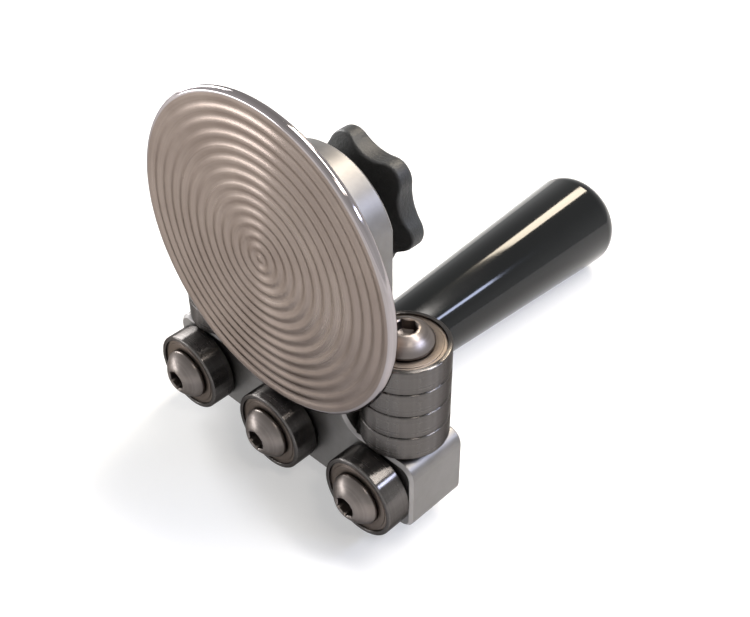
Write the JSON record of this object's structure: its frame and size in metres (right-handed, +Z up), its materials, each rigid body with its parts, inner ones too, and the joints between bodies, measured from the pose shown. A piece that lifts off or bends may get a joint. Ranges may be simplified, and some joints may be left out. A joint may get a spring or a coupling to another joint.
{
  "type": "sheet metal disc bender",
  "caption": "Hand tool that folds up a sheet metal edge: a clamped disc over front rollers, roller stacks at the sides, a star knob behind and a tapered handle.",
  "frame": {"origin": "middle of the flat face under the body", "axes": "+X along the front rollers, +Y from the disc to the handle, +Z up along the upright"},
  "size_m": [0.086, 0.1373, 0.1115],
  "materials": {
    "body_aluminium": "bead blasted, clear",
    "handle_plastic": "polished moulded black",
    "knob_plastic": "fine textured moulded black",
    "washer_plastic": "natural",
    "disc_steel": "turned in waves, rim polished",
    "ring_steel": "ground",
    "shield_steel": "pressed",
    "ball_steel": "lapped",
    "screw_steel": "plain stainless",
    "plated_steel": "zinc plated",
    "insert_brass": "turned"
  },
  "bodies": {
    "body": {"body": "body_aluminium", "handle_grip": "handle_plastic", "handle_stud": "plated_steel", "front_roller_inner_rings": "ring_steel", "front_roller_screws": "screw_steel", "front_roller_spacers": "plated_steel", "left_stack_inner_rings": "ring_steel", "right_stack_inner_rings": "ring_steel", "stack_screws": "screw_steel", "stack_washers": "plated_steel"},
    "disc_carriage": {"slide_sleeve": "plated_steel", "clamp_washer": "plated_steel", "thrust_washer": "washer_plastic"},
    "disc": {"disc": "disc_steel", "disc_spindle": "plated_steel", "spindle_clip": "plated_steel"},
    "star_knob": {"knob_grip": "knob_plastic", "knob_insert": "insert_brass"},
    "front_roller_left": {"front_roller_left_outer_ring": "ring_steel", "front_roller_left_shields": "shield_steel"},
    "front_roller_left_ball_set": {"front_roller_left_balls": "ball_steel"},
    "front_roller_middle": {"front_roller_middle_outer_ring": "ring_steel", "front_roller_middle_shields": "shield_steel"},
    "front_roller_middle_ball_set": {"front_roller_middle_balls": "ball_steel"},
    "front_roller_right": {"front_roller_right_outer_ring": "ring_steel", "front_roller_right_shields": "shield_steel"},
    "front_roller_right_ball_set": {"front_roller_right_balls": "ball_steel"},
    "left_stack_roller_1": {"left_stack_roller_1_outer_ring": "ring_steel", "left_stack_roller_1_shields": "shield_steel"},
    "left_stack_roller_1_ball_set": {"left_stack_roller_1_balls": "ball_steel"},
    "left_stack_roller_2": {"left_stack_roller_2_outer_ring": "ring_steel", "left_stack_roller_2_shields": "shield_steel"},
    "left_stack_roller_2_ball_set": {"left_stack_roller_2_balls": "ball_steel"},
    "left_stack_roller_3": {"left_stack_roller_3_outer_ring": "ring_steel", "left_stack_roller_3_shields": "shield_steel"},
    "left_stack_roller_3_ball_set": {"left_stack_roller_3_balls": "ball_steel"},
    "left_stack_roller_4": {"left_stack_roller_4_outer_ring": "ring_steel", "left_stack_roller_4_shields": "shield_steel"},
    "left_stack_roller_4_ball_set": {"left_stack_roller_4_balls": "ball_steel"},
    "right_stack_roller_1": {"right_stack_roller_1_outer_ring": "ring_steel", "right_stack_roller_1_shields": "shield_steel"},
    "right_stack_roller_1_ball_set": {"right_stack_roller_1_balls": "ball_steel"},
    "right_stack_roller_2": {"right_stack_roller_2_outer_ring": "ring_steel", "right_stack_roller_2_shields": "shield_steel"},
    "right_stack_roller_2_ball_set": {"right_stack_roller_2_balls": "ball_steel"},
    "right_stack_roller_3": {"right_stack_roller_3_outer_ring": "ring_steel", "right_stack_roller_3_shields": "shield_steel"},
    "right_stack_roller_3_ball_set": {"right_stack_roller_3_balls": "ball_steel"},
    "right_stack_roller_4": {"right_stack_roller_4_outer_ring": "ring_steel", "right_stack_roller_4_shields": "shield_steel"},
    "right_stack_roller_4_ball_set": {"right_stack_roller_4_balls": "ball_steel"}
  },
  "joints": [
    {"name": "disc_height_slide", "type": "slide", "parent": "body", "child": "disc_carriage", "axis": [0, 0, 1], "range_m": [-0.0015, 0.008]},
    {"name": "disc_spin", "type": "hinge", "parent": "disc_carriage", "child": "disc", "pos_m": [0, -0.01, 0.0645], "axis": [0, 1, 0], "continuous": true},
    {"name": "star_knob_turn", "type": "hinge", "parent": "disc_carriage", "child": "star_knob", "pos_m": [0, 0.018, 0.0645], "axis": [0, 1, 0], "range_deg": [0, 360]},
    {"name": "front_roller_left_spin", "type": "hinge", "parent": "body", "child": "front_roller_left", "pos_m": [-0.032, -0.01325, 0.01], "axis": [0, 1, 0], "continuous": true},
    {"name": "front_roller_left_balls_roll", "type": "hinge", "parent": "body", "child": "front_roller_left_ball_set", "pos_m": [-0.032, -0.01325, 0.01], "axis": [0, 1, 0], "continuous": true},
    {"name": "front_roller_middle_spin", "type": "hinge", "parent": "body", "child": "front_roller_middle", "pos_m": [0, -0.01325, 0.01], "axis": [0, 1, 0], "continuous": true},
    {"name": "front_roller_middle_balls_roll", "type": "hinge", "parent": "body", "child": "front_roller_middle_ball_set", "pos_m": [0, -0.01325, 0.01], "axis": [0, 1, 0], "continuous": true},
    {"name": "front_roller_right_spin", "type": "hinge", "parent": "body", "child": "front_roller_right", "pos_m": [0.032, -0.01325, 0.01], "axis": [0, 1, 0], "continuous": true},
    {"name": "front_roller_right_balls_roll", "type": "hinge", "parent": "body", "child": "front_roller_right_ball_set", "pos_m": [0.032, -0.01325, 0.01], "axis": [0, 1, 0], "continuous": true},
    {"name": "left_stack_roller_1_spin", "type": "hinge", "parent": "body", "child": "left_stack_roller_1", "pos_m": [-0.032, 0, 0.0255], "axis": [0, 0, 1], "continuous": true},
    {"name": "left_stack_roller_1_balls_roll", "type": "hinge", "parent": "body", "child": "left_stack_roller_1_ball_set", "pos_m": [-0.032, 0, 0.0255], "axis": [0, 0, 1], "continuous": true},
    {"name": "left_stack_roller_2_spin", "type": "hinge", "parent": "body", "child": "left_stack_roller_2", "pos_m": [-0.032, 0, 0.0325], "axis": [0, 0, 1], "continuous": true},
    {"name": "left_stack_roller_2_balls_roll", "type": "hinge", "parent": "body", "child": "left_stack_roller_2_ball_set", "pos_m": [-0.032, 0, 0.0325], "axis": [0, 0, 1], "continuous": true},
    {"name": "left_stack_roller_3_spin", "type": "hinge", "parent": "body", "child": "left_stack_roller_3", "pos_m": [-0.032, 0, 0.0395], "axis": [0, 0, 1], "continuous": true},
    {"name": "left_stack_roller_3_balls_roll", "type": "hinge", "parent": "body", "child": "left_stack_roller_3_ball_set", "pos_m": [-0.032, 0, 0.0395], "axis": [0, 0, 1], "continuous": true},
    {"name": "left_stack_roller_4_spin", "type": "hinge", "parent": "body", "child": "left_stack_roller_4", "pos_m": [-0.032, 0, 0.0465], "axis": [0, 0, 1], "continuous": true},
    {"name": "left_stack_roller_4_balls_roll", "type": "hinge", "parent": "body", "child": "left_stack_roller_4_ball_set", "pos_m": [-0.032, 0, 0.0465], "axis": [0, 0, 1], "continuous": true},
    {"name": "right_stack_roller_1_spin", "type": "hinge", "parent": "body", "child": "right_stack_roller_1", "pos_m": [0.032, 0, 0.0255], "axis": [0, 0, 1], "continuous": true},
    {"name": "right_stack_roller_1_balls_roll", "type": "hinge", "parent": "body", "child": "right_stack_roller_1_ball_set", "pos_m": [0.032, 0, 0.0255], "axis": [0, 0, 1], "continuous": true},
    {"name": "right_stack_roller_2_spin", "type": "hinge", "parent": "body", "child": "right_stack_roller_2", "pos_m": [0.032, 0, 0.0325], "axis": [0, 0, 1], "continuous": true},
    {"name": "right_stack_roller_2_balls_roll", "type": "hinge", "parent": "body", "child": "right_stack_roller_2_ball_set", "pos_m": [0.032, 0, 0.0325], "axis": [0, 0, 1], "continuous": true},
    {"name": "right_stack_roller_3_spin", "type": "hinge", "parent": "body", "child": "right_stack_roller_3", "pos_m": [0.032, 0, 0.0395], "axis": [0, 0, 1], "continuous": true},
    {"name": "right_stack_roller_3_balls_roll", "type": "hinge", "parent": "body", "child": "right_stack_roller_3_ball_set", "pos_m": [0.032, 0, 0.0395], "axis": [0, 0, 1], "continuous": true},
    {"name": "right_stack_roller_4_spin", "type": "hinge", "parent": "body", "child": "right_stack_roller_4", "pos_m": [0.032, 0, 0.0465], "axis": [0, 0, 1], "continuous": true},
    {"name": "right_stack_roller_4_balls_roll", "type": "hinge", "parent": "body", "child": "right_stack_roller_4_ball_set", "pos_m": [0.032, 0, 0.0465], "axis": [0, 0, 1], "continuous": true}
  ],
  "couplings": [
    {"joint": "front_roller_left_balls_roll", "follows": "front_roller_left_spin", "ratio": 0.628},
    {"joint": "front_roller_middle_balls_roll", "follows": "front_roller_middle_spin", "ratio": 0.628},
    {"joint": "front_roller_right_balls_roll", "follows": "front_roller_right_spin", "ratio": 0.628},
    {"joint": "left_stack_roller_1_balls_roll", "follows": "left_stack_roller_1_spin", "ratio": 0.628},
    {"joint": "left_stack_roller_2_balls_roll", "follows": "left_stack_roller_2_spin", "ratio": 0.628},
    {"joint": "left_stack_roller_3_balls_roll", "follows": "left_stack_roller_3_spin", "ratio": 0.628},
    {"joint": "left_stack_roller_4_balls_roll", "follows": "left_stack_roller_4_spin", "ratio": 0.628},
    {"joint": "right_stack_roller_1_balls_roll", "follows": "right_stack_roller_1_spin", "ratio": 0.628},
    {"joint": "right_stack_roller_2_balls_roll", "follows": "right_stack_roller_2_spin", "ratio": 0.628},
    {"joint": "right_stack_roller_3_balls_roll", "follows": "right_stack_roller_3_spin", "ratio": 0.628},
    {"joint": "right_stack_roller_4_balls_roll", "follows": "right_stack_roller_4_spin", "ratio": 0.628}
  ]
}
